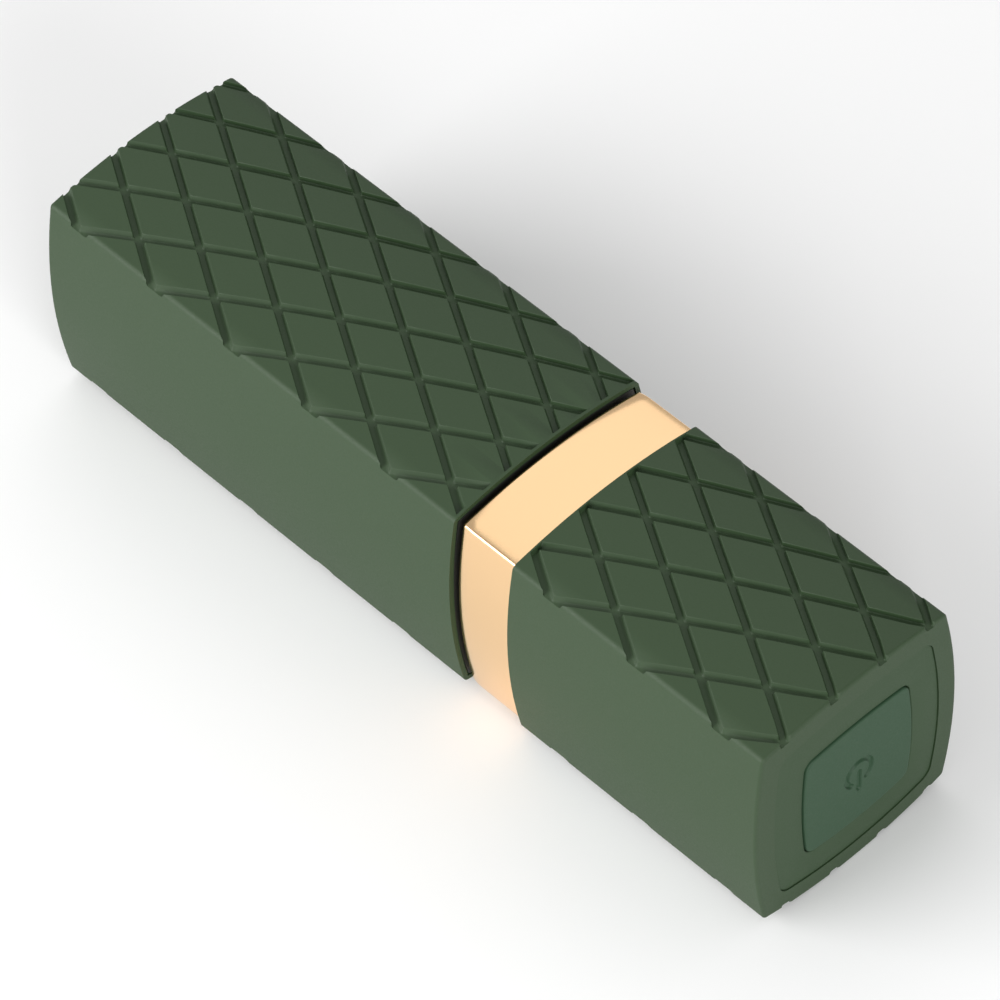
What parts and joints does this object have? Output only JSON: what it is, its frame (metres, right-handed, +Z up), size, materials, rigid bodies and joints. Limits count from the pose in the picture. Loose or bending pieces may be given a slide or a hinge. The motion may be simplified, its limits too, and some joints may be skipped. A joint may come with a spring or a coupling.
{
  "type": "powered lipstick case",
  "caption": "Pocket device shaped as a square lipstick case: quilted pull-off cap over a slanted soft tip, gold collar and a quilted base with a push button in its end",
  "frame": {"origin": "middle of the footprint, at the lowest line of the lower quilted face", "axes": "+X along the case towards the button end, +Z up out of the upper quilted face, -Y out of the smooth side seen in front"},
  "size_m": [0.1, 0.027, 0.0271],
  "materials": {
    "soft_skin": "matte soft-touch green",
    "tip": "matte silicone",
    "end_panel": "matte soft-touch green",
    "button": "matte, slightly smoother",
    "liner": "moulded",
    "gold": "satin gold plating",
    "neck": "gloss black",
    "seal": "matte",
    "core": "moulded",
    "steel": "brushed",
    "magnet": "sintered",
    "bell": "moulded",
    "contact": "gold plated",
    "winding": "copper windings",
    "weight": "sintered tungsten",
    "chassis": "moulded",
    "cell_wrap": "shrink wrap",
    "nickel": "nickel",
    "foam": "foam",
    "board": "solder mask",
    "chip": "moulded",
    "lamp": "clear over yellow",
    "lead_red": "insulation",
    "lead_black": "insulation",
    "lead_white": "insulation"
  },
  "bodies": {
    "case": {"base_skin": "soft_skin", "tip_skin": "tip", "end_frame": "end_panel", "collar_band": "gold", "neck_sleeve": "neck", "collar_gasket": "seal", "tip_core": "core", "motor_sleeve": "seal", "motor_can": "steel", "motor_magnet": "magnet", "motor_bell": "bell", "motor_terminals": "contact", "motor_plug": "core", "chassis_upper": "chassis", "chassis_lower": "chassis", "case_screws": "steel", "cell": "cell_wrap", "cell_tabs": "nickel", "front_pad": "foam", "back_pad": "foam", "circuit_board": "board", "switch_body": "bell", "control_chip": "chip", "status_light": "lamp", "lead_red": "lead_red", "lead_black": "lead_black", "lead_cell": "lead_red", "charge_leads": "lead_white", "charge_contacts": "contact", "charge_magnets": "nickel", "end_seal": "seal"},
    "cap": {"cap_skin": "soft_skin", "cap_liner": "liner", "cap_grip_ring": "seal"},
    "button": {"end_button": "button"},
    "plunger": {"switch_plunger": "bell"},
    "rotor": {"motor_rotor": "winding", "motor_shaft": "steel", "motor_weight": "weight"}
  },
  "joints": [
    {"name": "cap_pull", "type": "slide", "parent": "case", "child": "cap", "axis": [-1, 0, 0], "range_m": [0, 0.065]},
    {"name": "button_press", "type": "slide", "parent": "case", "child": "button", "axis": [-1, 0, 0], "range_m": [0, 0.0005], "stiffness_N_per_m": 2000},
    {"name": "plunger_press", "type": "slide", "parent": "case", "child": "plunger", "axis": [-1, 0, 0], "range_m": [0, 0.0005]},
    {"name": "rotor_spin", "type": "hinge", "parent": "case", "child": "rotor", "pos_m": [-0.02, 0, 0.01353], "axis": [1, 0, 0], "continuous": true}
  ],
  "couplings": [
    {"joint": "plunger_press", "follows": "button_press", "ratio": 1}
  ]
}
